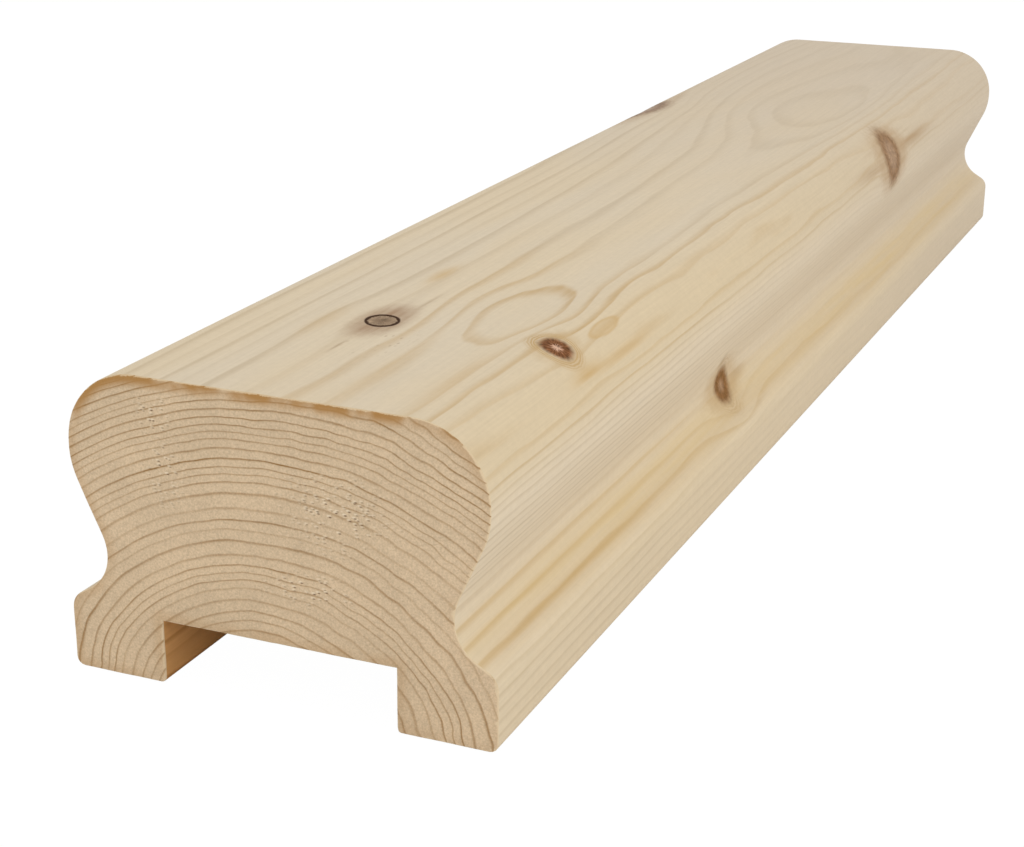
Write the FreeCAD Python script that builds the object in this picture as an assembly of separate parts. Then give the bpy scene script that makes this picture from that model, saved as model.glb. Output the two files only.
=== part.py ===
# Stair handrail length: one moulded piece of softwood, lying on its two feet.
# One section runs the whole way: a flat-topped head with round shoulders, a cove
# down each side for the fingers, and a base with a square groove under it that
# takes the tops of the spindles. Both ends are sawn square.
# X is across the rail, Y along it and Z up, in millimetres. The origin is at
# mid-length, on the floor, midway between the feet.
import FreeCAD, Part
import math
import os

from FreeCAD import Vector

# Driving dimensions
length = 370.0
height = 51.0
head_width = 72.0         # over the shoulders
head_depth = 16.0         # from the top down to the corner under the head
shoulder_radius = 12.5
chin_radius = 14.0        # where the head turns in towards the cove
neck_width = 56.0         # between the two inside corners that the coves round off
neck_height = 17.4        # of those corners above the floor
cove_radius = 7.5
base_width = 74.5         # over the outer sides of the feet
base_height = 12.0        # of those sides, to the corner above them
base_round = 3.2          # on that corner
base_arris = 1.5          # on the feet's lower outer edges
groove_width = 41.0       # takes 41 mm square spindles
groove_depth = 10.7
groove_arris = 0.8        # on the edges of the groove's mouth
end_arris = 0.4           # the eased edge round each sawn end

# Walls and points closer than this are the same
tolerance = 1e-6


def half_section():
    """Corners of the section's right half, groove floor to shoulder, each (x, z, radius)."""
    return [
        (groove_width / 2, groove_depth, 0.0),
        (groove_width / 2, 0.0, groove_arris),
        (base_width / 2, 0.0, base_arris),
        (base_width / 2, base_height, base_round),
        (neck_width / 2, neck_height, cove_radius),
        (head_width / 2, height - head_depth, chin_radius),
        (head_width / 2, height, shoulder_radius),
    ]


def whole_section():
    """The right half's corners, then their mirror images on the way back down the left."""
    right = half_section()
    left = [(-x, z, radius) for x, z, radius in reversed(right)]
    return [(Vector(x, 0, z), radius) for x, z, radius in right + left]


def tangent_lengths(corners):
    """How far each corner's round reaches along its walls, cut back where two rounds share a short wall."""
    count = len(corners)
    reach = []
    for i, (point, radius) in enumerate(corners):
        before = corners[i - 1][0] - point
        after = corners[(i + 1) % count][0] - point
        reach.append(radius / math.tan(before.getAngle(after) / 2))
    share = []
    for i in range(count):
        wall = (corners[(i + 1) % count][0] - corners[i][0]).Length
        share.append(min(1.0, wall / max(reach[i] + reach[(i + 1) % count], tolerance)))
    return [reach[i] * min(share[i - 1], share[i]) for i in range(count)]


def corner_arc(point, start, end):
    """The round between two points that lie equally far from a corner, along its walls."""
    back = (start - point).normalize()
    ahead = (end - point).normalize()
    half_angle = back.getAngle(ahead) / 2
    run = (start - point).Length
    to_centre = run / math.cos(half_angle)
    radius = run * math.tan(half_angle)
    middle = point + (back + ahead).normalize() * (to_centre - radius)
    return Part.Arc(start, middle, end).toShape()


def section_wire():
    """The closed outline: straight walls joined by tangent arcs."""
    corners = whole_section()
    reach = tangent_lengths(corners)
    count = len(corners)
    starts = []
    ends = []
    for i, (point, _) in enumerate(corners):
        before = (corners[i - 1][0] - point).normalize()
        after = (corners[(i + 1) % count][0] - point).normalize()
        starts.append(point + before * reach[i])
        ends.append(point + after * reach[i])
    edges = []
    for i, (point, _) in enumerate(corners):
        if reach[i] > tolerance:
            edges.append(corner_arc(point, starts[i], ends[i]))
        next_start = starts[(i + 1) % count]
        if (next_start - ends[i]).Length > tolerance:
            edges.append(Part.LineSegment(ends[i], next_start).toShape())
    return Part.Wire(edges)


def end_edges(solid):
    """The edges that lie wholly in one of the two sawn ends."""
    found = []
    for edge in solid.Edges:
        box = edge.BoundBox
        flat = box.YLength < tolerance * length
        if flat and abs(abs(box.YMin) - length / 2) < tolerance * length:
            found.append(edge)
    return found


def make_handrail():
    """The section carried along the length, with both sawn ends eased."""
    section = Part.Face(section_wire())
    section.translate(Vector(0, -length / 2, 0))
    stock = section.extrude(Vector(0, length, 0))
    return stock.makeChamfer(end_arris, end_edges(stock))


def main():
    handrail = make_handrail()
    os.makedirs("parts", exist_ok=True)
    handrail.exportStep("parts/handrail.step")
    box = handrail.BoundBox
    print("handrail valid:", handrail.isValid(), "solids:", len(handrail.Solids), "faces:", len(handrail.Faces))
    print("size:", round(box.XLength, 3), round(box.YLength, 3), round(box.ZLength, 3))
    print("volume, litres:", round(handrail.Volume / 1e6, 4))


main()
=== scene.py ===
# Stair handrail length in planed pine, lying groove down on a pale studio floor.
# X is across the rail, Y along it and Z up. Shapes and patterns are worked out in millimetres.
import math

import bmesh
import bpy
import numpy as np
from mathutils import Matrix, Vector


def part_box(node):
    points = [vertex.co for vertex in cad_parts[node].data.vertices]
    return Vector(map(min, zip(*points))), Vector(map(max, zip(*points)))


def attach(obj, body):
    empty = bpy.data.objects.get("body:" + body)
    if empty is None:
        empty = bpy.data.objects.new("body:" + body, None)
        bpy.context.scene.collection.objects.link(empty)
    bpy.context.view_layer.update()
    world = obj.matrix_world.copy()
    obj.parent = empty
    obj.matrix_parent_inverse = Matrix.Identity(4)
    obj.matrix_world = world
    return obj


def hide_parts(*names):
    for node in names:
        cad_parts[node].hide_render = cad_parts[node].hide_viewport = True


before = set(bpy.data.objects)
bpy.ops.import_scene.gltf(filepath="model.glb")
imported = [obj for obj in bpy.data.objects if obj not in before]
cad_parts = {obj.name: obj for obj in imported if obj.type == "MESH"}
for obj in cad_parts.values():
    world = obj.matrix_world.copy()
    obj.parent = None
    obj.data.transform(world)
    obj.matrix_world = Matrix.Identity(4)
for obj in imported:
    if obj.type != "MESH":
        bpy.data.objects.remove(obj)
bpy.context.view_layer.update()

mm = 0.001
lowCorner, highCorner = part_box("handrail")
print("frame loaded:", list(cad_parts))


# Handrail mesh

rail = {
    "length": (highCorner.y - lowCorner.y) / mm,
    "height": (highCorner.z - lowCorner.z) / mm,
    "baseWidth": (highCorner.x - lowCorner.x) / mm,
    "headWidth": 72.0,
    "headDepth": 16.0,       # from the top down to the corner under the head
    "shoulderRadius": 12.5,
    "chinRadius": 14.0,
    "neckWidth": 56.0,       # between the inside corners that the coves round off
    "neckHeight": 17.4,
    "coveRadius": 7.5,
    "baseHeight": 12.0,
    "baseRound": 3.2,
    "baseArris": 1.5,
    "grooveWidth": 41.0,
    "grooveDepth": 10.7,
    "grooveArris": 0.8,
    "sawnArris": 0.24,       # mean width of the eased edge round a sawn end
    "mouthArris": 0.20,      # how much wider it is at the groove
    "arrisSteps": 4,
    "stationGap": 2.3,       # between stations on plain wood
    "knotGap": 0.75,         # between stations at a knot
    "knotSpan": 9,           # along the rail, over which stations draw together at a knot
    "dishReach": 4.5,        # of the shallow dish over a knot
    "endGap": 1.2,           # from the last station to the sawn end
    "sharpAngle": 50,        # degrees, over which an edge is shaded sharp
}

# A knot's middle is on the skin, and outward is the skin's own direction there. The rings part round
# it over reach, and the skin sinks a little.
knots = {
    "deadKnot": {
        "middle": (-2.3, -143.0, 51.0), "outward": (0.0, 0.0, 1.0),
        "reach": (8, 14, 12), "parting": 0.7, "sink": 0.12,
    },
    "shoulderKnot": {
        "middle": (28.5, -142.0, 50.0), "outward": (0.40, 0.0, 0.92),
        "reach": (5, 9, 8), "parting": 0.7, "sink": 0.06,
    },
    "coveKnot": {
        "middle": (30.4, -58.2, 18.6), "outward": (0.96, 0.0, 0.28),
        "reach": (10, 13, 6.5), "parting": 0.8, "sink": 0.06,
    },
    "farKnot": {
        "middle": (35.1, 62.2, 43.1), "outward": (0.93, 0.0, 0.37),
        "reach": (9, 17, 9), "parting": 0.7, "sink": 0.10,
    },
    "leftKnot": {
        "middle": (-29.0, 57.5, 49.6), "outward": (-0.44, 0.0, 0.90),
        "reach": (10, 20, 10), "parting": 0.7, "sink": 0.10,
    },
}


# Points from a to b, evenly spaced, without b
def wallPoints(a, b, count):
    part = np.arange(count)[:, None] / count
    return np.array(a) * (1 - part) + np.array(b) * part


# The round of a radius on a corner between two walls: its start, its end and count points along
# it without the end. The points turn about the centre from one tangent point to the other.
def cornerRound(before, corner, after, radius, count):
    before, corner, after = (np.array(p, float) for p in (before, corner, after))
    back = (before - corner) / np.linalg.norm(before - corner)
    ahead = (after - corner) / np.linalg.norm(after - corner)
    half = math.acos(back @ ahead) / 2
    start = corner + back * radius / math.tan(half)
    end = corner + ahead * radius / math.tan(half)
    bisector = (back + ahead) / np.linalg.norm(back + ahead)
    centre = corner + bisector * radius / math.sin(half)
    turn = math.pi - 2 * half
    angle = np.arange(count)[:, None] / count * turn
    swept = (np.sin(turn - angle) * (start - centre) + np.sin(angle) * (end - centre)) / math.sin(turn)
    return start, end, centre + swept


# The right half of the section in named stretches, from the groove's middle round to the top's middle
def halfSection():
    grooveHalf = rail["grooveWidth"] / 2
    baseHalf = rail["baseWidth"] / 2
    neckHalf = rail["neckWidth"] / 2
    headHalf = rail["headWidth"] / 2
    chinHeight = rail["height"] - rail["headDepth"]
    corners = [
        (0, rail["grooveDepth"]),
        (grooveHalf, rail["grooveDepth"]),
        (grooveHalf, 0),
        (baseHalf, 0),
        (baseHalf, rail["baseHeight"]),
        (neckHalf, rail["neckHeight"]),
        (headHalf, chinHeight),
        (headHalf, rail["height"]),
        (0, rail["height"]),
    ]
    radii = ("grooveArris", "baseArris", "baseRound", "coveRadius", "chinRadius", "shoulderRadius")
    steps = (4, 4, 8, 14, 8, 28)
    rounds = []
    for i, (name, count) in enumerate(zip(radii, steps)):
        rounds.append(cornerRound(*corners[i + 1:i + 4], rail[name], count))
    mouth, foot, base, cove, chin, shoulder = rounds
    return {
        "grooveFloor": wallPoints(corners[0], corners[1], 20),
        "grooveSide": np.vstack([wallPoints(corners[1], mouth[0], 8), mouth[2]]),
        "sole": wallPoints(mouth[1], foot[0], 12),
        "footSide": np.vstack([foot[2], wallPoints(foot[1], base[0], 8)]),
        "flank": np.vstack([
            base[2], wallPoints(base[1], cove[0], 2), cove[2], wallPoints(cove[1], chin[0], 10),
            chin[2], wallPoints(chin[1], shoulder[0], 1), shoulder[2],
        ]),
        "topFlat": wallPoints(shoulder[1], corners[8], 32),
        "topMiddle": np.array([corners[8]], float),
    }


# The closed outline: the right half, then its mirror image on the way back
def wholeSection(half):
    right = np.vstack(list(half.values()))
    left = right[-2:0:-1] * [-1, 1]
    return np.vstack([right, left])


# Outward normals of a closed outline, lengthened at a corner so that an offset keeps its walls parallel
def outlineNormals(points):
    run = np.roll(points, -1, axis=0) - points
    run = run / np.linalg.norm(run, axis=1)[:, None]
    ahead = np.stack([run[:, 1], -run[:, 0]], axis=1)
    behind = np.roll(ahead, 1, axis=0)
    return (ahead + behind) / (1 + np.sum(ahead * behind, axis=1))[:, None]


# A patch between four edges: the blend of bottom and top, plus that of left and right, less the
# blend of the corners
def edgePatch(bottom, top, left, right):
    u = np.linspace(0, 1, len(bottom))[None, :, None]
    v = np.linspace(0, 1, len(left))[:, None, None]
    upDown = bottom[None] * (1 - v) + top[None] * v
    across = left[:, None] * (1 - u) + right[:, None] * u
    low = bottom[0] * (1 - u) + bottom[-1] * u
    high = top[0] * (1 - u) + top[-1] * u
    return upDown + across - (low * (1 - v) + high * v)


# The three patches that close an end, from a ring of points in the outline's own order
def endPatches(ring, half):
    names = list(half)
    stops = np.cumsum([0] + [len(half[name]) for name in names])
    first = dict(zip(names, stops))
    count = len(ring)

    def stretch(start, stop, mirrored=False):
        index = np.arange(start, stop + 1)
        return ring[-index % count] if mirrored else ring[index]

    patches = []
    seams = []
    for mirrored in (False, True):
        wall = stretch(first["grooveSide"], first["sole"], mirrored)
        outer = stretch(first["footSide"], first["flank"], mirrored)[::-1]
        sole = stretch(first["sole"], first["footSide"], mirrored)
        seam = np.linspace(wall[0], outer[0], len(sole))
        patches.append(edgePatch(seam, sole, wall, outer))
        seams.append(seam)
    groove = np.vstack([
        stretch(0, first["grooveSide"], True)[::-1],
        stretch(0, first["grooveSide"])[1:],
    ])
    bottom = np.vstack([seams[1][::-1], groove[1:-1], seams[0]])
    top = np.vstack([
        stretch(first["topFlat"], first["topMiddle"], True),
        stretch(first["topFlat"], first["topMiddle"])[::-1][1:],
    ])
    rightSide = stretch(first["flank"], first["topFlat"])
    leftSide = stretch(first["flank"], first["topFlat"], True)
    patches.append(edgePatch(bottom, top, leftSide, rightSide))
    return patches


# Stations along the rail: spacing falls from the plain gap to the knots' gap near each knot
def stationPlaces(reach):
    fine = np.linspace(-reach, reach, 4001)
    density = np.full_like(fine, 1 / rail["stationGap"])
    for knot in knots.values():
        near = np.exp(-((fine - knot["middle"][1]) / rail["knotSpan"]) ** 2)
        density = np.maximum(density, near / rail["knotGap"])
    run = np.concatenate([[0], np.cumsum((density[1:] + density[:-1]) / 2 * np.diff(fine))])
    return np.interp(np.linspace(0, run[-1], int(round(run[-1])) + 1), run, fine)


# How far the skin lies below its planed face: shallow dishes over the knots
def knotDishes(points):
    depth = np.zeros(points.shape[:-1])
    for knot in knots.values():
        away = np.linalg.norm(points - np.array(knot["middle"]), axis=-1)
        depth += knot["sink"] * np.exp(-(away / rail["dishReach"]) ** 2)
    return depth


# Width of the eased edge of a sawn end: a mean with slow and quick waves, and more at the groove
def arrisWidth(outline, along, phase):
    wave = 0.16 * np.sin(along / 3.1 + phase) + 0.12 * np.sin(along / 1.27 + 2.1 * phase)
    across, above = np.abs(outline[:, 0]), outline[:, 1]
    inGroove = (across < rail["grooveWidth"] / 2 + 0.1) & (above < rail["grooveDepth"] + 0.1)
    return rail["sawnArris"] * (1 + wave) + rail["mouthArris"] * inGroove


def gridFaces(rows, columns, closed, start):
    r = np.arange(rows - 1)[:, None]
    c = np.arange(columns if closed else columns - 1)[None]
    nextColumn = (c + 1) % columns
    low = r * columns
    high = low + columns
    corners = (low + c, low + nextColumn, high + nextColumn, high + c)
    return np.stack(np.broadcast_arrays(*corners), axis=-1).reshape(-1, 4) + start


# The section is carried along the stations. At each end it turns in over a small quarter round
# to the ring that the sawn end fills.
def handrailMesh():
    half = halfSection()
    outline = wholeSection(half)
    normals = outlineNormals(outline)
    count = len(outline)
    gaps = np.linalg.norm(np.diff(outline, axis=0), axis=1)
    along = np.concatenate([[0], np.cumsum(gaps)])
    endPlace = rail["length"] / 2
    stations = stationPlaces(endPlace - rail["endGap"])
    skin = np.empty((len(stations), count, 3))
    skin[..., 0] = outline[:, 0]
    skin[..., 1] = stations[:, None]
    skin[..., 2] = outline[:, 1]
    sunk = knotDishes(skin)
    skin[..., 0] -= sunk * normals[:, 0]
    skin[..., 2] -= sunk * normals[:, 1]

    angle = np.linspace(0, math.pi / 2, rail["arrisSteps"] + 1)[:, None]
    arrises = []
    for side, phase in ((-1, 1.3), (1, 4.0)):
        width = arrisWidth(outline, along, phase)[None]
        inset = width * (1 - np.cos(angle))
        rings = np.empty((len(angle), count, 3))
        rings[..., 0] = outline[:, 0] - inset * normals[:, 0]
        rings[..., 1] = side * (endPlace - width * (1 - np.sin(angle)))
        rings[..., 2] = outline[:, 1] - inset * normals[:, 1]
        arrises.append(rings)
    nearRings, farRings = arrises
    tube = np.vstack([nearRings[::-1], skin, farRings])

    vertices = [tube.reshape(-1, 3)]
    faces = [gridFaces(len(tube), count, True, 0)]
    eased = np.arange(len(tube) - 1)
    easedRow = (eased < rail["arrisSteps"]) | (eased >= len(tube) - 1 - rail["arrisSteps"])
    finish = [np.repeat(easedRow.astype(np.int32), count)]
    fromEnd = np.full(len(tube), -1.0)
    ramp = np.linspace(0, -1, rail["arrisSteps"] + 1)
    fromEnd[:len(ramp)] = ramp
    fromEnd[-len(ramp):] = ramp[::-1]
    edgeGap = [np.repeat(fromEnd, count)]

    start = tube.shape[0] * count
    for ring in (tube[0], tube[-1]):
        flat = ring[:, [0, 2]]
        for patch in endPatches(flat, half):
            rows, columns = patch.shape[:2]
            points = np.empty((rows * columns, 3))
            points[:, [0, 2]] = patch.reshape(-1, 2)
            points[:, 1] = ring[0, 1]
            away = np.linalg.norm(points[:, None, [0, 2]] - flat[None], axis=-1).min(axis=1)
            vertices.append(points)
            faces.append(gridFaces(rows, columns, False, start))
            finish.append(np.ones(len(faces[-1]), np.int32))
            edgeGap.append(away)
            start += len(points)

    mesh = bpy.data.meshes.new("handrailSkin")
    mesh.from_pydata(np.vstack(vertices) * mm, [], np.vstack(faces).tolist())
    mesh.polygons.foreach_set("material_index", np.concatenate(finish))
    gapLayer = mesh.attributes.new("edgeGap", "FLOAT", "POINT")
    gapLayer.data.foreach_set("value", np.concatenate(edgeGap).astype(np.float32))
    work = bmesh.new()
    work.from_mesh(mesh)
    bmesh.ops.remove_doubles(work, verts=work.verts, dist=1e-6)
    bmesh.ops.recalc_face_normals(work, faces=work.faces)
    work.to_mesh(mesh)
    work.free()
    mesh.shade_smooth()
    mesh.set_sharp_from_angle(angle=math.radians(rail["sharpAngle"]))
    print("handrail mesh:", len(mesh.vertices), "points,", len(mesh.polygons), "faces")
    return mesh


# Node helpers

def addNode(tree, kind, inputs=None, **settings):
    node = tree.nodes.new("ShaderNode" + kind)
    for name, value in settings.items():
        setattr(node, name, value)
    for socket, value in (inputs or {}).items():
        if isinstance(value, bpy.types.NodeSocket):
            tree.links.new(value, node.inputs[socket])
        else:
            node.inputs[socket].default_value = value
    return node


def maths(tree, operation, *values):
    node = addNode(tree, "Math", dict(enumerate(values)), operation=operation)
    return node.outputs[0]


# The product of several values
def times(tree, first, *others):
    for value in others:
        first = maths(tree, "MULTIPLY", first, value)
    return first


# A value part of the way from one to another
def between(tree, share, first, second):
    return maths(tree, "MULTIPLY_ADD", share, maths(tree, "SUBTRACT", second, first), first)


def vectors(tree, operation, *values, output="Vector"):
    node = addNode(tree, "VectorMath", dict(enumerate(values)), operation=operation)
    return node.outputs[output]


def smoothStep(tree, value, low, high, toLow=0.0, toHigh=1.0):
    inputs = {"Value": value, "From Min": low, "From Max": high, "To Min": toLow, "To Max": toHigh}
    return addNode(tree, "MapRange", inputs, interpolation_type="SMOOTHSTEP").outputs["Result"]


def spread(tree, value, low, high, toLow, toHigh):
    inputs = {"Value": value, "From Min": low, "From Max": high, "To Min": toLow, "To Max": toHigh}
    return addNode(tree, "MapRange", inputs).outputs["Result"]


def blendColour(tree, factor, under, over, mode="MIX"):
    node = addNode(tree, "Mix", data_type="RGBA", blend_type=mode)
    for socket, value in ((0, factor), (6, under), (7, over)):
        if isinstance(value, bpy.types.NodeSocket):
            tree.links.new(value, node.inputs[socket])
        else:
            node.inputs[socket].default_value = value
    return node.outputs[2]


# A colour made lighter or darker by a value near one
def shadeColour(tree, colour, value):
    grey = addNode(tree, "CombineColor", {0: value, 1: value, 2: value}).outputs[0]
    return blendColour(tree, 1.0, colour, grey, mode="MULTIPLY")


# Noise on millimetre coordinates, where pitch is the number of bumps in a millimetre each way
def grainNoise(tree, place, pitch, detail=2.0, roughness=0.5):
    scaled = vectors(tree, "MULTIPLY", place, pitch)
    inputs = {"Vector": scaled, "Scale": 1.0, "Detail": detail, "Roughness": roughness}
    return addNode(tree, "TexNoise", inputs).outputs["Fac"]


# Dots at the middles of random cells, in a share of them, fading from the inner to the outer radius
def scatterDots(tree, place, pitch, share, inner, outer):
    cells = vectors(tree, "MULTIPLY", place, pitch)
    dots = addNode(tree, "TexVoronoi", {"Vector": cells, "Scale": 1.0}, feature="F1")
    chance = addNode(tree, "SeparateColor", {0: dots.outputs["Color"]}).outputs[0]
    chosen = maths(tree, "GREATER_THAN", chance, 1 - share)
    return times(tree, smoothStep(tree, dots.outputs["Distance"], inner, outer, 1.0, 0.0), chosen)


def startGroup(name, inputs, outputs):
    group = bpy.data.node_groups.new(name, "ShaderNodeTree")
    kinds = {"float": "NodeSocketFloat", "vector": "NodeSocketVector", "colour": "NodeSocketColor"}
    for socket, kind in inputs.items():
        group.interface.new_socket(name=socket, in_out="INPUT", socket_type=kinds[kind])
    for socket, kind in outputs.items():
        group.interface.new_socket(name=socket, in_out="OUTPUT", socket_type=kinds[kind])
    given = group.nodes.new("NodeGroupInput").outputs
    result = group.nodes.new("NodeGroupOutput").inputs
    return group, given, result


def placeGroup(tree, group, inputs):
    return addNode(tree, "Group", inputs, node_tree=group).outputs


def rgb(red, green, blue):
    return (red, green, blue, 1.0)


# Growth rings

log = {
    "pith": (-3.3, -6.9),      # x and z of the tree's middle, under the groove
    "flatness": 1.243,         # rings are closer together upwards
    "openness": 0.069,         # how rings straighten away from the vertical
    "lean": -0.068,
    "ringGap": 2.9,            # at the pith
    "crowding": 0.0045,        # rings narrow outwards
    "outerStart": 66.5,        # slow growth begins at this radius
    "outerCrowding": 0.22,
    "phase": 0.204,
    "slowWaver": 0.30,
    "quickWaver": 0.12,
    "sawnWaver": 0.26,         # the same on a sawn end
    "sideWaver": 0.45,
    "coveLine": 13.7,          # height of the line at the foot of the coves
    "coveCount": 17.8,         # and its ring count
    "coveGap": 1.9,            # between lines at the foot of the cove
    "coveSpread": 0.22,        # how that gap grows up the cove
    "footGap": 2.1,            # between lines down the foot
    "boldRing": 36,            # rings are bold and faint by turns, most of all at this one
}

# Where the rings swell towards the skin apart from the knots: they make the top's long crest and its eyes
swells = {
    "crest": {"middle": (24.7, 60, 55), "reach": (19.2, 1270, 8), "lift": 8.4},
    "nearEye": {"middle": (17.0, -132, 51), "reach": (10.0, 17.5, 12), "lift": 1.95},
    "farEye": {"middle": (8.0, 68.3, 51), "reach": (17.0, 27.3, 12), "lift": 1.74},
    "farTop": {"middle": (-10, 131, 53), "reach": (33.7, 92.4, 12), "lift": 4.3},
    "farDip": {"middle": (10, 150, 51), "reach": (20, 42, 12), "lift": -1.6},
}


# A bell: lift times e to the minus square of the distance, measured in reaches
def buildGrainSwell():
    inputs = {"Place": "vector", "Middle": "vector", "Reach": "vector", "Lift": "float"}
    group, given, result = startGroup("grainSwell", inputs, {"Rise": "float"})
    away = vectors(group, "SUBTRACT", given["Place"], given["Middle"])
    away = vectors(group, "DIVIDE", away, given["Reach"])
    square = vectors(group, "DOT_PRODUCT", away, away, output="Value")
    bell = maths(group, "EXPONENT", maths(group, "MULTIPLY", square, -1.0))
    group.links.new(maths(group, "MULTIPLY", bell, given["Lift"]), result["Rise"])
    return group


# Knots push the rings apart: a place near one is read closer to its middle, across the grain only
def partedPlace(tree, swellGroup, place, knot):
    values = {"Place": place, "Middle": knot["middle"], "Reach": knot["reach"], "Lift": knot["parting"]}
    share = placeGroup(tree, swellGroup, values)["Rise"]
    pull = addNode(tree, "CombineXYZ", {0: share, 2: share}).outputs[0]
    away = vectors(tree, "SUBTRACT", place, knot["middle"])
    return vectors(tree, "SUBTRACT", place, vectors(tree, "MULTIPLY", away, pull))


# Strength of the lines on the lower sides, by the height over the line at the foot of the cove: that
# line is strong, those above it weaken upwards, and those on the foot are faint. All fade along the rail.
def sideStrength(tree, fromLine, along):
    onLine = smoothStep(tree, maths(tree, "ABSOLUTE", fromLine), 0.9, 1.5, 1.0, 0.0)
    upward = smoothStep(tree, fromLine, 1.0, 11.0, 0.52, 0.20)
    level = between(tree, smoothStep(tree, fromLine, 0.2, 0.9), 0.33, upward)
    level = maths(tree, "MAXIMUM", level, maths(tree, "MULTIPLY", onLine, 0.50))
    fade = smoothStep(tree, along, -165.0, 0.0, 1.0, 0.28)
    lineFade = smoothStep(tree, along, -165.0, 0.0, 1.0, 0.70)
    return times(tree, level, between(tree, onLine, fade, lineFade))


# Ring count is a curve of the distance from the pith, less the swells. On the skin's lower sides it is
# a curve of the height alone. On a sawn end the swells count for less and the rings are uneven. Within
# a ring the late wood is a thin line where it is sawn across and a soft band where it is planed along.
def buildGrowthRings(swellGroup):
    inputs = {"Place": "vector", "Skin": "float"}
    outputs = {"Line": "float", "Band": "float", "Strength": "float", "Chance": "float"}
    group, given, result = startGroup("growthRings", inputs, outputs)
    sawnShare = maths(group, "SUBTRACT", 1.0, given["Skin"])
    place = given["Place"]
    for knot in knots.values():
        place = partedPlace(group, swellGroup, place, knot)
    axis = addNode(group, "SeparateXYZ", {0: place}).outputs
    slow = spread(group, grainNoise(group, given["Place"], (0.07, 0.008, 0.07)), 0.25, 0.75, -1.0, 1.0)
    quick = spread(group, grainNoise(group, given["Place"], (0.16, 0.03, 0.16)), 0.25, 0.75, -1.0, 1.0)
    quickWaver = between(group, sawnShare, log["quickWaver"], log["sawnWaver"])
    height = maths(group, "MULTIPLY_ADD", slow, log["slowWaver"], axis["Z"])
    height = maths(group, "MULTIPLY_ADD", quick, quickWaver, height)
    across = maths(group, "MULTIPLY_ADD", quick, log["sideWaver"], axis["X"])
    aside = maths(group, "SUBTRACT", across, log["pith"][0])
    above = maths(group, "SUBTRACT", height, log["pith"][1])
    steep = maths(group, "MULTIPLY", above, log["flatness"])
    square = maths(group, "MULTIPLY_ADD", steep, steep, maths(group, "MULTIPLY", aside, aside))
    radius = maths(group, "SQRT", square)
    angle = maths(group, "ARCTAN2", aside, above)
    opening = maths(group, "MULTIPLY_ADD", angle, log["openness"], log["lean"])
    opening = maths(group, "MULTIPLY_ADD", opening, angle, 1.0)
    radius = maths(group, "MULTIPLY", radius, opening)
    lift = spread(group, given["Skin"], 0.0, 1.0, 0.4, 1.0)
    for swell in swells.values():
        values = {"Place": place, "Middle": swell["middle"], "Reach": swell["reach"]}
        values["Lift"] = maths(group, "MULTIPLY", lift, swell["lift"])
        radius = maths(group, "SUBTRACT", radius, placeGroup(group, swellGroup, values)["Rise"])
    crowd = maths(group, "MULTIPLY_ADD", radius, log["crowding"], 1.0)
    count = maths(group, "MULTIPLY", maths(group, "DIVIDE", radius, log["ringGap"]), crowd)
    outer = maths(group, "MAXIMUM", maths(group, "SUBTRACT", radius, log["outerStart"]), 0.0)
    count = maths(group, "MULTIPLY_ADD", outer, log["outerCrowding"], count)
    count = maths(group, "ADD", count, log["phase"])
    for pace, width in ((1.3, 0.20), (0.47, 0.40)):
        uneven = maths(group, "SINE", maths(group, "MULTIPLY", count, pace))
        count = maths(group, "MULTIPLY_ADD", uneven, maths(group, "MULTIPLY", sawnShare, width), count)

    height = maths(group, "MULTIPLY_ADD", quick, 0.2, height)
    fromLine = maths(group, "SUBTRACT", height, log["coveLine"])
    upCove = maths(group, "MAXIMUM", fromLine, 0.0)
    upCove = maths(group, "MULTIPLY_ADD", upCove, log["coveSpread"] / log["coveGap"], 1.0)
    upCove = maths(group, "LOGARITHM", upCove, math.exp(log["coveSpread"]))
    downFoot = maths(group, "DIVIDE", maths(group, "MINIMUM", fromLine, 0.0), log["footGap"])
    sideCount = maths(group, "ADD", maths(group, "ADD", upCove, downFoot), log["coveCount"])
    lowSide = times(
        group,
        smoothStep(group, axis["Z"], 22.0, 28.0, 1.0, 0.0),
        smoothStep(group, axis["Z"], 0.3, 1.2),
        smoothStep(group, maths(group, "ABSOLUTE", axis["X"]), 23.0, 27.0),
        given["Skin"],
    )
    count = between(group, lowSide, count, sideCount)
    part = maths(group, "FRACT", count)
    number = maths(group, "FLOOR", count)
    fromBold = maths(group, "SUBTRACT", number, log["boldRing"])
    turns = maths(group, "COSINE", maths(group, "MULTIPLY", fromBold, math.pi + 0.25))
    rise = maths(group, "POWER", smoothStep(group, part, 0.58, 0.80), 1.2)
    line = times(group, rise, smoothStep(group, part, 0.82, 0.93, 1.0, 0.0))
    band = times(group, smoothStep(group, part, 0.42, 0.84), smoothStep(group, part, 0.84, 0.96, 1.0, 0.0))
    chance = addNode(group, "TexWhiteNoise", {"W": number}, noise_dimensions="1D")
    group.links.new(line, result["Line"])
    group.links.new(band, result["Band"])
    byTurns = spread(group, turns, -1.0, 1.0, 0.36, 0.96)
    strength = between(group, lowSide, byTurns, sideStrength(group, fromLine, axis["Y"]))
    group.links.new(strength, result["Strength"])
    group.links.new(chance.outputs["Value"], result["Chance"])
    return group


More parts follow.
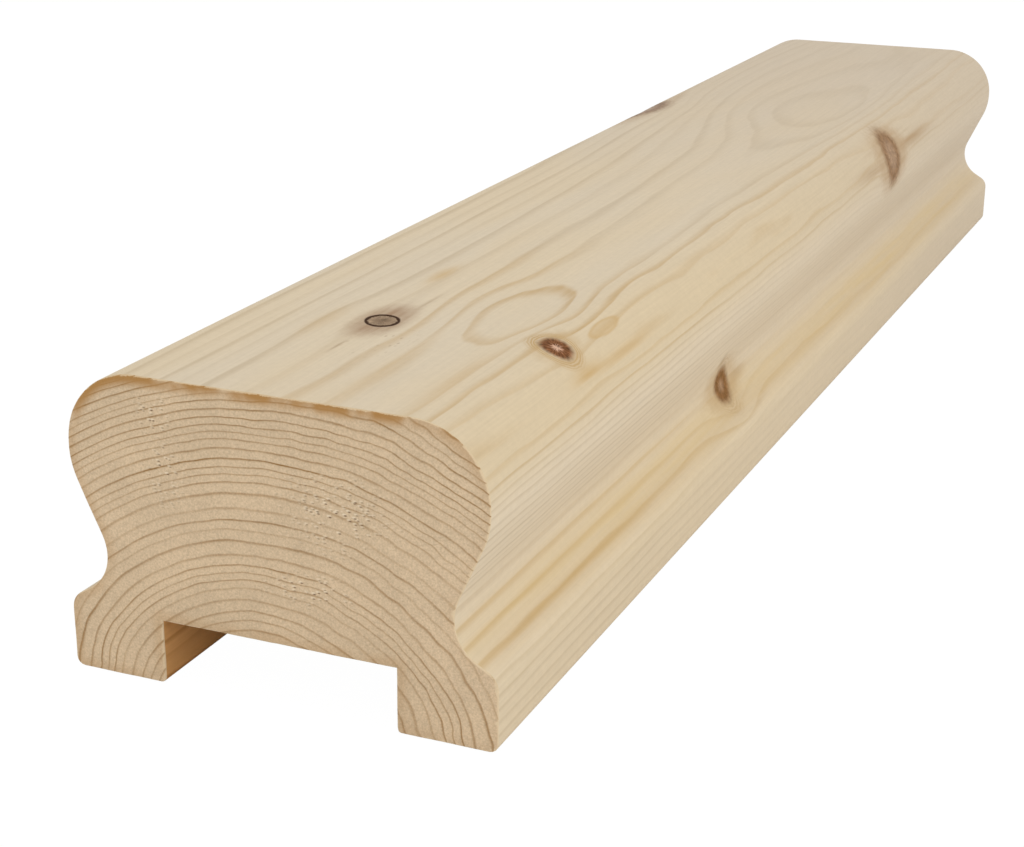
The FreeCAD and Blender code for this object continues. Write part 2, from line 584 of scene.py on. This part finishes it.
# Fibres: fine streaks along the rail, wisps and slow changes of tone, and rough spots
def buildFibres():
    outputs = {"Streak": "float", "Tone": "float", "Wisp": "float", "Rough": "float"}
    group, given, result = startGroup("fibres", {"Place": "vector"}, outputs)
    place = given["Place"]
    group.links.new(grainNoise(group, place, (2.6, 0.045, 2.6), 3.0, 0.65), result["Streak"])
    group.links.new(grainNoise(group, place, (0.06, 0.012, 0.06)), result["Tone"])
    group.links.new(grainNoise(group, place, (0.8, 0.035, 0.8), 3.0), result["Wisp"])
    group.links.new(grainNoise(group, place, (0.9, 0.7, 0.9), 4.0, 0.6), result["Rough"])
    return group


# Knots

knotLooks = {
    "deadKnot": {
        "Half Length": 3.2, "Half Width": 2.74, "Turn": 0.47, "Ragged": 0.16, "Edge": 0.06,
        "Core": rgb(0.215, 0.145, 0.090), "Outer": rgb(0.335, 0.235, 0.150), "Halo": rgb(0.36, 0.235, 0.145),
        "Core Reach": 0.15, "Outer Reach": 0.85, "Spokes": 0.3,
        "Bark": rgb(0.030, 0.008, 0.001), "Bark Width": 0.135, "Bark Depth": 1.0,
        "Halo Reach": 1.25, "Halo Depth": 1.0, "Collar": 0.0, "Smear": 0.5, "Smear Reach": 16.0,
    },
    "shoulderKnot": {
        "Half Length": 3.2, "Half Width": 2.95, "Turn": 0.0, "Ragged": 0.24, "Edge": 0.28,
        "Core": rgb(0.62, 0.39, 0.27), "Outer": rgb(0.19, 0.078, 0.032), "Halo": rgb(0.51, 0.345, 0.165),
        "Core Reach": 0.05, "Outer Reach": 0.45, "Spokes": 0.6,
        "Bark": rgb(0.10, 0.045, 0.02), "Bark Width": 0.3, "Bark Depth": 0.0,
        "Halo Reach": 0.6, "Halo Depth": 0.45, "Collar": 1.0, "Smear": 0.15, "Smear Reach": 10.0,
    },
    "coveKnot": {
        "Half Length": 4.2, "Half Width": 3.6, "Turn": 0.0, "Ragged": 0.25, "Edge": 0.34,
        "Core": rgb(0.36, 0.22, 0.12), "Outer": rgb(0.245, 0.122, 0.045), "Halo": rgb(0.47, 0.30, 0.13),
        "Core Reach": 0.10, "Outer Reach": 0.55, "Spokes": 0.15,
        "Bark": rgb(0.10, 0.05, 0.02), "Bark Width": 0.3, "Bark Depth": 0.0,
        "Halo Reach": 0.8, "Halo Depth": 0.6, "Collar": 0.4, "Smear": 0.5, "Smear Reach": 18.0,
    },
    "farKnot": {
        "Half Length": 6.9, "Half Width": 7.0, "Turn": 0.0, "Ragged": 0.22, "Edge": 0.30,
        "Core": rgb(0.38, 0.25, 0.155), "Outer": rgb(0.285, 0.168, 0.087), "Halo": rgb(0.44, 0.29, 0.16),
        "Core Reach": 0.25, "Outer Reach": 0.80, "Spokes": 0.10,
        "Bark": rgb(0.12, 0.07, 0.035), "Bark Width": 0.2, "Bark Depth": 0.0,
        "Halo Reach": 0.5, "Halo Depth": 0.7, "Collar": 0.0, "Smear": 0.6, "Smear Reach": 30.0,
    },
    "leftKnot": {
        "Half Length": 13.0, "Half Width": 5.6, "Turn": 0.0, "Ragged": 0.25, "Edge": 0.28,
        "Core": rgb(0.42, 0.315, 0.235), "Outer": rgb(0.305, 0.208, 0.140), "Halo": rgb(0.46, 0.33, 0.21),
        "Core Reach": 0.2, "Outer Reach": 0.8, "Spokes": 0.12,
        "Bark": rgb(0.10, 0.055, 0.03), "Bark Width": 0.2, "Bark Depth": 0.0,
        "Halo Reach": 0.4, "Halo Depth": 0.6, "Collar": 0.0, "Smear": 0.35, "Smear Reach": 26.0,
    },
}


# A branch comes out through the skin. Reach is the distance from its middle as a share of its half
# size, on axes turned from the grain by an angle in radians, and roughened by noise. From it come the
# core, the outer wood and a thin line of bark. A halo that is longer along the grain, collar lines
# round the knot and a stain that follows the fibres are laid under them.
def buildBranchKnot():
    inputs = {"Wood": "colour", "Place": "vector", "Wisp": "float", "Rough": "float"}
    inputs.update({"Middle": "vector", "Outward": "vector"})
    for socket, value in knotLooks["deadKnot"].items():
        inputs[socket] = "colour" if isinstance(value, tuple) else "float"
    group, given, result = startGroup("branchKnot", inputs, {"Colour": "colour"})
    away = vectors(group, "SUBTRACT", given["Place"], given["Middle"])
    depth = vectors(group, "DOT_PRODUCT", away, given["Outward"], output="Value")
    present = smoothStep(group, depth, -12.0, -8.0)
    sideways = vectors(group, "CROSS_PRODUCT", given["Outward"], (0.0, 1.0, 0.0))
    across = vectors(group, "DOT_PRODUCT", away, sideways, output="Value")
    along = addNode(group, "SeparateXYZ", {0: away}).outputs["Y"]
    cosine = maths(group, "COSINE", given["Turn"])
    sine = maths(group, "SINE", given["Turn"])
    length = maths(group, "MULTIPLY_ADD", across, sine, times(group, along, cosine))
    length = maths(group, "DIVIDE", length, given["Half Length"])
    width = maths(group, "SUBTRACT", times(group, across, cosine), times(group, along, sine))
    width = maths(group, "DIVIDE", width, given["Half Width"])
    rough = maths(group, "SUBTRACT", given["Rough"], 0.5)
    clean = maths(group, "MULTIPLY_ADD", length, length, maths(group, "MULTIPLY", width, width))
    clean = maths(group, "SQRT", clean)
    reach = maths(group, "MULTIPLY_ADD", rough, given["Ragged"], clean)
    drawn = times(group, maths(group, "DIVIDE", along, given["Half Length"]), 0.55)
    grainWidth = maths(group, "DIVIDE", across, given["Half Width"])
    widthSquare = maths(group, "MULTIPLY", grainWidth, grainWidth)
    drawn = maths(group, "SQRT", maths(group, "MULTIPLY_ADD", drawn, drawn, widthSquare))
    drawn = maths(group, "MULTIPLY_ADD", rough, 0.35, drawn)

    angle = maths(group, "ARCTAN2", width, length)
    spoke = addNode(group, "CombineXYZ", {
        0: maths(group, "MULTIPLY", maths(group, "COSINE", angle), 9.0),
        1: maths(group, "MULTIPLY", maths(group, "SINE", angle), 9.0),
        2: maths(group, "MULTIPLY", reach, 3.0),
    }).outputs[0]
    spokes = addNode(group, "TexNoise", {"Vector": spoke, "Scale": 1.0, "Detail": 1.0}).outputs["Fac"]
    spokes = maths(group, "SUBTRACT", spokes, 0.5)
    fromCore = maths(group, "MULTIPLY_ADD", times(group, spokes, given["Spokes"]), 1.5, reach)
    outerShare = smoothStep(group, fromCore, given["Core Reach"], given["Outer Reach"])
    heart = blendColour(group, outerShare, given["Core"], given["Outer"])
    heart = shadeColour(group, heart, spread(group, rough, -0.25, 0.25, 0.7, 1.3))
    rays = maths(group, "MULTIPLY_ADD", times(group, spokes, given["Spokes"]), -4.5, 1.0)
    heart = shadeColour(group, heart, maths(group, "MAXIMUM", rays, 0.3))
    innerEdge = maths(group, "SUBTRACT", 1.0, given["Edge"])
    outerEdge = maths(group, "ADD", 1.0, given["Edge"])
    inside = times(group, smoothStep(group, reach, innerEdge, outerEdge, 1.0, 0.0), present)

    fromEdge = maths(group, "ABSOLUTE", maths(group, "SUBTRACT", reach, 1.0))
    lengthwise = maths(group, "ABSOLUTE", maths(group, "COSINE", angle))
    uneven = spread(group, rough, -0.2, 0.2, 0.6, 1.4)
    barkWidth = times(group, given["Bark Width"], spread(group, lengthwise, 0.0, 1.0, 1.0, 1.7), uneven)
    bark = smoothStep(group, fromEdge, maths(group, "MULTIPLY", barkWidth, 0.3), barkWidth, 1.0, 0.0)
    broken = spread(group, spokes, -0.2, 0.2, 1.0, 0.9)
    bark = times(group, bark, broken, given["Bark Depth"], present)

    haloEdge = maths(group, "ADD", given["Halo Reach"], 1.0)
    patchy = spread(group, given["Wisp"], 0.3, 0.7, 0.55, 1.0)
    wings = spread(group, lengthwise, 0.2, 0.9, 0.8, 1.0)
    haloFade = smoothStep(group, drawn, 0.8, haloEdge, 1.0, 0.0)
    halo = times(group, haloFade, patchy, wings, given["Halo Depth"])
    ringed = maths(group, "MULTIPLY_ADD", rough, 0.25, clean)
    wave = maths(group, "SINE", maths(group, "MULTIPLY", ringed, 36.0))
    collarFade = smoothStep(group, clean, 1.35, 2.0, 1.0, 0.0)
    collarFade = times(group, smoothStep(group, clean, 1.08, 1.2), collarFade)
    collar = times(group, smoothStep(group, wave, -0.6, 0.9, 0.45, 1.0), collarFade, given["Collar"])
    band = maths(group, "EXPONENT", maths(group, "MULTIPLY", widthSquare, -2.2))
    alongAway = maths(group, "ABSOLUTE", along)
    fade = smoothStep(group, alongAway, given["Half Length"], given["Smear Reach"], 1.0, 0.0)
    smear = times(group, band, fade, smoothStep(group, given["Wisp"], 0.42, 0.68), given["Smear"])

    stain = maths(group, "MAXIMUM", maths(group, "MAXIMUM", halo, smear), collar)
    colour = blendColour(group, times(group, stain, present), given["Wood"], given["Halo"])
    colour = blendColour(group, inside, colour, heart)
    colour = blendColour(group, bark, colour, given["Bark"])
    group.links.new(colour, result["Colour"])
    return group


# Resin stains

honey = rgb(0.55, 0.37, 0.165)
amber = rgb(0.48, 0.285, 0.095)
tan = rgb(0.42, 0.28, 0.155)
straw = rgb(0.68, 0.51, 0.24)
umber = rgb(0.30, 0.19, 0.10)

# Middle, reach, colour, depth, crispness and the height that the stain stops at
resinStains = {
    "bud": ((30.2, -125.3, 49.0), (1.3, 6.0, 1.3), honey, 0.62, 1.0, 0.0),
    "tongue": ((33.4, -141.0, 46.0), (1.7, 5.5, 1.4), honey, 0.95, 0.0, 45.1),
    "tongueTip": ((34.0, -127.0, 45.3), (1.5, 13.0, 0.9), honey, 0.75, 0.0, 44.4),
    "flame": ((-5.6, -112.5, 51.0), (1.5, 5.5, 5.0), honey, 0.7, 0.1, 0.0),
    "leftFlame": ((-11.0, -147.0, 51.0), (1.8, 9.0, 5.0), honey, 0.4, 0.1, 0.0),
    "nearBand": ((10.0, -170.0, 51.0), (1.7, 15.0, 5.0), honey, 0.32, 0.0, 0.0),
    "edgeBand": ((21.8, -169.0, 51.0), (1.7, 15.0, 5.0), honey, 0.32, 0.0, 0.0),
    "rightCheck": ((0.0, -130.5, 51.0), (0.4, 6.0, 5.0), umber, 0.45, 0.0, 0.0),
    "leftCheck": ((-2.4, -158.5, 51.0), (0.25, 3.0, 5.0), umber, 0.7, 0.0, 0.0),
    "coveTail": ((31.2, -60.6, 24.4), (1.5, 1.8, 1.6), umber, 0.55, 0.0, 0.0),
    "coveSmear": ((30.5, -47.5, 18.5), (1.5, 4.5, 1.1), tan, 0.6, 0.0, 0.0),
    "farStreak": ((35.0, 85.0, 43.3), (3.0, 15.0, 1.3), tan, 1.0, 0.0, 0.0),
    "farSmear": ((35.1, 40.0, 43.0), (3.0, 14.0, 1.3), tan, 0.6, 0.0, 0.0),
    "lowVein": ((34.2, -145.0, 13.7), (1.2, 42.0, 0.35), amber, 0.55, 0.0, 0.0),
    "middleVein": ((31.8, -148.0, 16.1), (1.0, 50.0, 0.45), honey, 0.45, 0.0, 0.0),
    "highVein": ((30.4, -158.0, 18.7), (1.2, 45.0, 0.5), honey, 0.3, 0.0, 0.0),
    "coveGlow": ((32.0, -120.0, 15.2), (7.0, 90.0, 4.2), straw, 0.50, 0.0, 0.0),
    "farGlow": ((33.0, 70.0, 14.4), (7.0, 150.0, 3.4), straw, 0.55, 0.0, 0.0),
}


# A bell of resin colour over the wood, broken up along the fibres. A crisp one is darkest at its edge.
def buildResinStain(swellGroup):
    inputs = {"Wood": "colour", "Place": "vector", "Wisp": "float", "Middle": "vector", "Reach": "vector"}
    inputs.update({"Resin": "colour", "Depth": "float", "Crisp": "float", "Stop": "float"})
    group, given, result = startGroup("resinStain", inputs, {"Colour": "colour"})
    values = {"Place": given["Place"], "Middle": given["Middle"], "Reach": given["Reach"], "Lift": 1.0}
    bell = placeGroup(group, swellGroup, values)["Rise"]
    soft = times(group, bell, spread(group, given["Wisp"], 0.3, 0.7, 0.5, 1.0))
    paler = smoothStep(group, soft, 0.36, 0.6, 1.0, 0.65)
    outlined = times(group, smoothStep(group, soft, 0.18, 0.36), paler)
    share = times(group, between(group, given["Crisp"], soft, outlined), given["Depth"])
    height = addNode(group, "SeparateXYZ", {0: given["Place"]}).outputs["Z"]
    overStop = maths(group, "SUBTRACT", height, given["Stop"])
    share = times(group, share, smoothStep(group, overStop, 0.0, 0.3))
    group.links.new(blendColour(group, share, given["Wood"], given["Resin"]), result["Colour"])
    return group


# Pine finishes

planed = {
    "early": rgb(0.665, 0.565, 0.420),
    "warm": rgb(0.675, 0.560, 0.395),
    "side": rgb(0.697, 0.584, 0.428),      # under the right shoulder, painted lighter against the shade that falls there
    "shoulder": rgb(0.653, 0.530, 0.352),
    "far": rgb(0.572, 0.484, 0.380),       # towards the far end
    "late": rgb(0.265, 0.152, 0.035),
    "lateDepth": 0.47,
    "resin": rgb(0.420, 0.225, 0.030),     # late wood that is full of resin
    "resinDepth": 0.65,
    "groove": rgb(0.84, 0.53, 0.27),       # painted shade: the groove's recess is darker and browner, for shade and warm bounce light, and partly its own unplaned wood
    "tear": rgb(0.320, 0.215, 0.125),
    "sheen": 0.02,
}

sawn = {
    "early": rgb(0.622, 0.474, 0.312),
    "late": rgb(0.255, 0.130, 0.035),
    "lateDepth": 0.78,
    "fleck": rgb(0.820, 0.700, 0.520),
    "pit": rgb(0.130, 0.065, 0.030),
    "scorch": rgb(0.400, 0.215, 0.075),
    # painted highlight along the eased edge round a sawn end
    "rimHighlight": rgb(0.720, 0.580, 0.380),
    "sheen": 0.02,
}

# Where the saw has pulled out tufts of fibre, as x and z of the middle and the reach
tornPatches = {
    "right": {"middle": (11, 34), "reach": (8, 6)},
    "leftHigh": {"middle": (-20, 45.5), "reach": (3, 3.5)},
    "left": {"middle": (-18.5, 36), "reach": (3, 5)},
    "low": {"middle": (6, 21), "reach": (7, 2.5)},
}

# Where the lines round the near eye are stronger
eyeGlow = {"Middle": (16.0, -118.0, 51.0), "Reach": (13.0, 24.0, 8.0), "Lift": 0.55}

# Where the plane has torn the fibres beside a knot
planeTear = {"Middle": (2.7, -154.0, 51.0), "Reach": (4.0, 6.0, 6.0), "Lift": 1.0}


def startMaterial(name, sheen):
    material = bpy.data.materials.new(name)
    material.use_nodes = True
    tree = material.node_tree
    tree.nodes.clear()
    shader = addNode(tree, "BsdfPrincipled", {"Specular IOR Level": sheen})
    addNode(tree, "OutputMaterial", {"Surface": shader.outputs[0]})
    coordinates = addNode(tree, "TexCoord").outputs["Object"]
    place = vectors(tree, "MULTIPLY", coordinates, (1 / mm, 1 / mm, 1 / mm))
    return material, tree, shader, place


def planedPine(groups):
    material, tree, shader, place = startMaterial("planedPine", planed["sheen"])
    axis = addNode(tree, "SeparateXYZ", {0: place}).outputs
    rings = placeGroup(tree, groups["rings"], {"Place": place, "Skin": 1.0})
    fibres = placeGroup(tree, groups["fibres"], {"Place": place})
    warmer = smoothStep(tree, fibres["Tone"], 0.35, 0.65)
    colour = blendColour(tree, warmer, planed["early"], planed["warm"])
    towardsFar = smoothStep(tree, axis["Y"], -110.0, 185.0)
    # Painted light: the right side under the shoulder takes a lighter colour, against the shade that falls
    # under the head. The foot takes half of it.
    paintedLightUnderShoulder = times(
        tree,
        smoothStep(tree, axis["Z"], 36.0, 44.0, 1.0, 0.0),
        smoothStep(tree, axis["Z"], 10.0, 13.0, 0.5, 1.0),
    )
    side = blendColour(tree, paintedLightUnderShoulder, planed["shoulder"], planed["side"])
    colour = blendColour(tree, smoothStep(tree, axis["X"], 20.0, 35.0), colour, side)
    onHead = smoothStep(tree, axis["Z"], 38.0, 43.0)
    farShare = times(tree, towardsFar, between(tree, onHead, 0.5, 0.68))
    colour = blendColour(tree, farShare, colour, planed["far"])
    onRight = smoothStep(tree, axis["X"], 20.0, 29.0)
    nearRight = times(
        tree,
        smoothStep(tree, axis["X"], -10.0, 6.0),
        smoothStep(tree, axis["Y"], -105.0, -70.0, 1.0, 0.0),
        onHead,
    )
    onShoulder = times(tree, onRight, onHead)
    inCove = times(
        tree,
        onRight,
        smoothStep(tree, axis["Z"], 11.8, 13.0),
        smoothStep(tree, axis["Z"], 19.0, 25.0, 1.0, 0.0),
    )
    warmth = maths(tree, "MAXIMUM", maths(tree, "MAXIMUM", nearRight, onShoulder), inCove)
    headSide = smoothStep(tree, axis["Y"], -165.0, 0.0, 0.58, 0.26)
    headTop = maths(tree, "MULTIPLY_ADD", onShoulder, 0.16, 0.48)
    atEye = placeGroup(tree, groups["swell"], {"Place": place, **eyeGlow})["Rise"]
    headTop = maths(tree, "ADD", atEye, headTop)
    headLevel = between(tree, onHead, headSide, headTop)
    level = between(tree, smoothStep(tree, axis["Z"], 22.0, 28.0), 1.0, headLevel)
    depth = times(
        tree,
        level,
        between(tree, warmth, planed["lateDepth"], planed["resinDepth"]),
        spread(tree, towardsFar, 0.0, 1.0, 1.0, 0.4),
        spread(tree, fibres["Wisp"], 0.3, 0.7, 0.75, 1.2),
    )
    lateness = times(tree, rings["Band"], rings["Strength"], depth)
    colour = blendColour(tree, lateness, colour, blendColour(tree, warmth, planed["late"], planed["resin"]))
    colour = shadeColour(tree, colour, spread(tree, fibres["Streak"], 0.25, 0.75, 0.955, 1.04))
    colour = shadeColour(tree, colour, spread(tree, fibres["Rough"], 0.3, 0.7, 0.975, 1.02))
    for stain in resinStains.values():
        values = {"Wood": colour, "Place": place, "Wisp": fibres["Wisp"]}
        values.update(zip(("Middle", "Reach", "Resin", "Depth", "Crisp", "Stop"), stain))
        colour = placeGroup(tree, groups["resin"], values)["Colour"]
    tearPlace = placeGroup(tree, groups["swell"], {"Place": place, **planeTear})["Rise"]
    tears = times(tree, scatterDots(tree, place, (1.1, 0.5, 1.1), 0.6, 0.08, 0.36), tearPlace)
    colour = blendColour(tree, times(tree, tears, 0.75), colour, planed["tear"])
    for name, look in knotLooks.items():
        values = {"Wood": colour, "Place": place, "Wisp": fibres["Wisp"], "Rough": fibres["Rough"]}
        values.update({"Middle": knots[name]["middle"], "Outward": knots[name]["outward"]})
        values.update(look)
        colour = placeGroup(tree, groups["knot"], values)["Colour"]
    # Painted shade: a multiply darkens and browns the groove's walls and floor, for the shade and warm
    # bounce light in the recess.
    sideGap = maths(tree, "ABSOLUTE", axis["X"])
    grooveHalf = rail["grooveWidth"] / 2
    inGroove = smoothStep(tree, sideGap, grooveHalf + 0.1, grooveHalf + 0.4, 1.0, 0.0)
    grooveTop = rail["grooveDepth"]
    underTop = smoothStep(tree, axis["Z"], grooveTop + 0.1, grooveTop + 0.4, 1.0, 0.0)
    inGroove = times(tree, inGroove, underTop)
    colour = blendColour(tree, inGroove, colour, planed["groove"], mode="MULTIPLY")
    tree.links.new(colour, shader.inputs["Base Color"])
    tree.links.new(spread(tree, lateness, 0.0, 1.0, 0.64, 0.5), shader.inputs["Roughness"])
    bump = addNode(tree, "Bump", {"Height": fibres["Streak"], "Distance": 0.00004, "Strength": 0.5})
    tree.links.new(bump.outputs[0], shader.inputs["Normal"])
    print("material:", material.name)
    return material


def sawnPine(groups):
    material, tree, shader, place = startMaterial("sawnPine", sawn["sheen"])
    axis = addNode(tree, "SeparateXYZ", {0: place}).outputs
    rings = placeGroup(tree, groups["rings"], {"Place": place, "Skin": 0.0})
    gap = addNode(tree, "Attribute", attribute_name="edgeGap").outputs["Fac"]
    speckle = grainNoise(tree, place, (3.6, 0.5, 3.6), 2.0, 0.7)
    tone = grainNoise(tree, place, (0.12, 0.12, 0.12))
    blotch = grainNoise(tree, place, (0.16, 0.16, 0.16))
    even = times(
        tree,
        spread(tree, rings["Chance"], 0.0, 1.0, 0.4, 1.0),
        spread(tree, blotch, 0.3, 0.7, 0.7, 1.15),
        smoothStep(tree, axis["Z"], 28.0, 38.0, 0.85, 1.27),
        smoothStep(tree, axis["Z"], 9.0, 14.0, 1.15, 1.0),
    )
    lateness = times(tree, rings["Line"], even, sawn["lateDepth"])
    flush = times(tree, rings["Band"], even, 0.20)
    colour = blendColour(tree, maths(tree, "MAXIMUM", lateness, flush), sawn["early"], sawn["late"])
    colour = shadeColour(tree, colour, spread(tree, speckle, 0.3, 0.7, 0.84, 1.13))
    colour = shadeColour(tree, colour, spread(tree, tone, 0.3, 0.7, 0.95, 1.04))

    torn = 0.10
    for patch in tornPatches.values():
        values = {"Place": place, "Lift": 1.0}
        values["Middle"] = (patch["middle"][0], 0, patch["middle"][1])
        values["Reach"] = (patch["reach"][0], rail["length"] * 2, patch["reach"][1])
        torn = maths(tree, "MAXIMUM", torn, placeGroup(tree, groups["swell"], values)["Rise"])
    shifted = vectors(tree, "ADD", place, (0.22, 0.0, -0.18))
    flecks = times(tree, scatterDots(tree, shifted, (0.95, 0.1, 1.9), 0.65, 0.12, 0.50), torn)
    pits = times(tree, scatterDots(tree, place, (0.95, 0.1, 1.9), 0.65, 0.10, 0.36), torn)
    colour = blendColour(tree, times(tree, flecks, 0.75), colour, sawn["fleck"])
    colour = blendColour(tree, times(tree, pits, 0.9), colour, sawn["pit"])

    patchy = smoothStep(tree, blotch, 0.25, 0.55)
    upper = smoothStep(tree, axis["Z"], 38.0, 48.0, 0.25, 1.0)
    rightward = smoothStep(tree, axis["X"], 18.0, 32.0, 0.0, 1.0)
    upper = times(tree, upper, spread(tree, rightward, 0.0, 1.0, 1.0, 0.35))
    scorch = times(tree, smoothStep(tree, gap, 0.2, 2.2, 1.0, 0.0), patchy, upper)
    colour = blendColour(tree, scorch, colour, sawn["scorch"])
    # Painted highlight: the eased edge round the sawn end is painted paler, as if it caught the light. It
    # reaches further in at chips, and the ring lines break it.
    chips = grainNoise(tree, place, (0.45, 0.1, 0.45), 1.0)
    lowChips = smoothStep(tree, axis["Z"], 20.0, 26.0, 0.6, 0.2)
    chipReach = times(tree, smoothStep(tree, chips, 0.5, 0.62), rightward, lowChips)
    ragged = maths(tree, "MULTIPLY_ADD", lateness, 0.8, spread(tree, speckle, 0.3, 0.7, -0.25, 0.25))
    rimHighlightGap = maths(tree, "SUBTRACT", maths(tree, "ADD", gap, ragged), chipReach)
    rimHighlight = smoothStep(tree, rimHighlightGap, -0.45, -0.1, 1.0, 0.0)
    colour = blendColour(tree, times(tree, rimHighlight, 0.65), colour, sawn["rimHighlight"])
    tree.links.new(colour, shader.inputs["Base Color"])
    tree.links.new(spread(tree, speckle, 0.3, 0.7, 0.82, 0.7), shader.inputs["Roughness"])
    height = maths(tree, "MULTIPLY_ADD", pits, -0.6, maths(tree, "MULTIPLY", speckle, 0.6))
    bump = addNode(tree, "Bump", {"Height": height, "Distance": 0.00012, "Strength": 0.6})
    tree.links.new(bump.outputs[0], shader.inputs["Normal"])
    print("material:", material.name)
    return material


def buildHandrail():
    swell = buildGrainSwell()
    groups = {
        "swell": swell,
        "rings": buildGrowthRings(swell),
        "fibres": buildFibres(),
        "knot": buildBranchKnot(),
        "resin": buildResinStain(swell),
    }
    piece = bpy.data.objects.new("pineHandrail", handrailMesh())
    bpy.context.scene.collection.objects.link(piece)
    piece.data.materials.append(planedPine(groups))
    piece.data.materials.append(sawnPine(groups))
    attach(piece, "root")
    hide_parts("handrail")


# Studio: pale floor, even sky, one large soft lamp, and the camera

studio = {
    "floorHalf": 3.0,          # metres
    "floorDrop": 0.0002,       # under the feet
    "floorColour": rgb(0.85, 0.85, 0.85),
    "floorGlow": 0.97,         # share of plain white that the camera sees in the floor
    "skyStrength": 0.98,
    "whiteStrength": 1.02,     # of what the camera sees behind the rail
    "lampPlace": (1.0, -0.75, 0.25),
    "lampSize": 1.0,
    "lampPower": 3.0,
}

lens = {
    "azimuth": 23.261,
    "elevation": 19.359,
    "roll": 0.329,
    "place": (144.05, -428.92, 145.63),   # millimetres
    "focal": 2018.1,           # in pixels of the picture
    "pictureWidth": 1024,
    "sensor": 36.0,
}


def buildFloor():
    half = studio["floorHalf"]
    corners = np.array([(-half, -half, 0), (half, -half, 0), (half, half, 0), (-half, half, 0)])
    mesh = bpy.data.meshes.new("studioFloor")
    mesh.from_pydata(corners - (0, 0, studio["floorDrop"]), [], [(0, 1, 2, 3)])
    material = bpy.data.materials.new("paleFloor")
    material.use_nodes = True
    tree = material.node_tree
    tree.nodes.clear()
    plain = addNode(tree, "BsdfDiffuse", {"Color": studio["floorColour"]})
    glow = addNode(tree, "Emission", {"Color": rgb(1, 1, 1), "Strength": studio["whiteStrength"]})
    seen = addNode(tree, "LightPath").outputs["Is Camera Ray"]
    share = maths(tree, "MULTIPLY", seen, studio["floorGlow"])
    mixed = addNode(tree, "MixShader", {0: share, 1: plain.outputs[0], 2: glow.outputs[0]})
    addNode(tree, "OutputMaterial", {"Surface": mixed.outputs[0]})
    mesh.materials.append(material)
    floor = bpy.data.objects.new("studioFloor", mesh)
    bpy.context.scene.collection.objects.link(floor)


def buildLight():
    world = bpy.data.worlds.new("studioSky")
    bpy.context.scene.world = world
    world.use_nodes = True
    tree = world.node_tree
    tree.nodes.clear()
    seen = addNode(tree, "LightPath").outputs["Is Camera Ray"]
    strength = spread(tree, seen, 0.0, 1.0, studio["skyStrength"], studio["whiteStrength"])
    sky = addNode(tree, "Background", {"Color": rgb(1, 1, 1), "Strength": strength})
    addNode(tree, "OutputWorld", {"Surface": sky.outputs[0]})
    lamp = bpy.data.lights.new("softLamp", "AREA")
    lamp.size = studio["lampSize"]
    lamp.energy = studio["lampPower"]
    holder = bpy.data.objects.new("softLamp", lamp)
    holder.location = studio["lampPlace"]
    holder.rotation_euler = (-Vector(studio["lampPlace"])).to_track_quat("-Z", "Y").to_euler()
    bpy.context.scene.collection.objects.link(holder)


def buildCamera():
    azimuth, elevation, roll = (math.radians(lens[name]) for name in ("azimuth", "elevation", "roll"))
    back = Vector((
        math.sin(azimuth) * math.cos(elevation),
        -math.cos(azimuth) * math.cos(elevation),
        math.sin(elevation),
    ))
    right = (-back).cross(Vector((0, 0, 1))).normalized()
    up = right.cross(-back)
    across = right * math.cos(roll) + up * math.sin(roll)
    upright = up * math.cos(roll) - right * math.sin(roll)
    data = bpy.data.cameras.new("photoCamera")
    data.sensor_fit = "HORIZONTAL"
    data.sensor_width = lens["sensor"]
    data.lens = lens["focal"] / lens["pictureWidth"] * lens["sensor"]
    data.clip_start = 0.01
    data.clip_end = 50
    camera = bpy.data.objects.new("photoCamera", data)
    turn = Matrix((across, upright, back)).transposed().to_4x4()
    camera.matrix_world = Matrix.Translation(Vector(lens["place"]) * mm) @ turn
    bpy.context.scene.collection.objects.link(camera)
    bpy.context.scene.camera = camera


buildHandrail()
buildFloor()
buildLight()
buildCamera()
bpy.context.scene.view_settings.view_transform = "Standard"
print("studio set")
